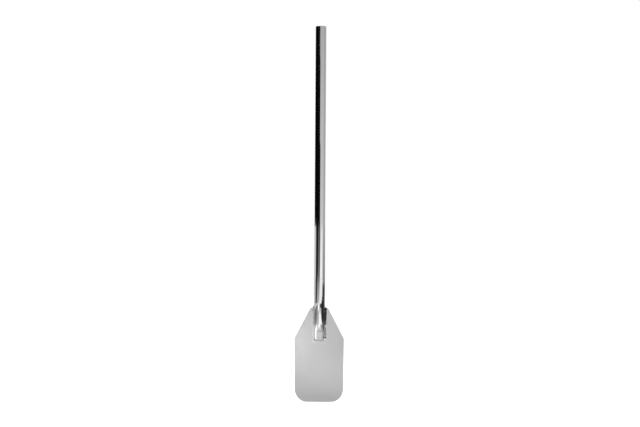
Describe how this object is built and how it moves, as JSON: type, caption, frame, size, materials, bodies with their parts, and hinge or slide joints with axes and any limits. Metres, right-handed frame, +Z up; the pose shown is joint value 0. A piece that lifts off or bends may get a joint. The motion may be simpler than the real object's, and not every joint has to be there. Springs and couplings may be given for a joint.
{
  "type": "stirring paddle",
  "caption": "Flat house-shaped steel blade with rounded corners, welded into the slotted and pressed end of a long round tube handle with a domed cap",
  "frame": {"origin": "the middle of the blade's bottom edge, on the axis of the tube and on the blade's mid plane", "axes": "+Z runs up along the handle to the cap, the front of the paddle faces -Y, and +X runs to the right across the blade as seen from the front"},
  "size_m": [0.12, 0.0266, 0.9144],
  "materials": {
    "blade_steel": "satin",
    "polished_steel": "polished",
    "weld_metal": "satin"
  },
  "bodies": {
    "root": {"blade": "blade_steel", "handle_tube": "polished_steel", "end_cap": "polished_steel", "end_cap_weld": "polished_steel", "weld_front_left": "weld_metal", "weld_front_right": "weld_metal", "weld_front_toe": "weld_metal", "weld_back_left": "weld_metal", "weld_back_right": "weld_metal", "weld_back_toe": "weld_metal", "weld_shoulder_left": "weld_metal", "weld_shoulder_right": "weld_metal"}
  },
  "joints": []
}
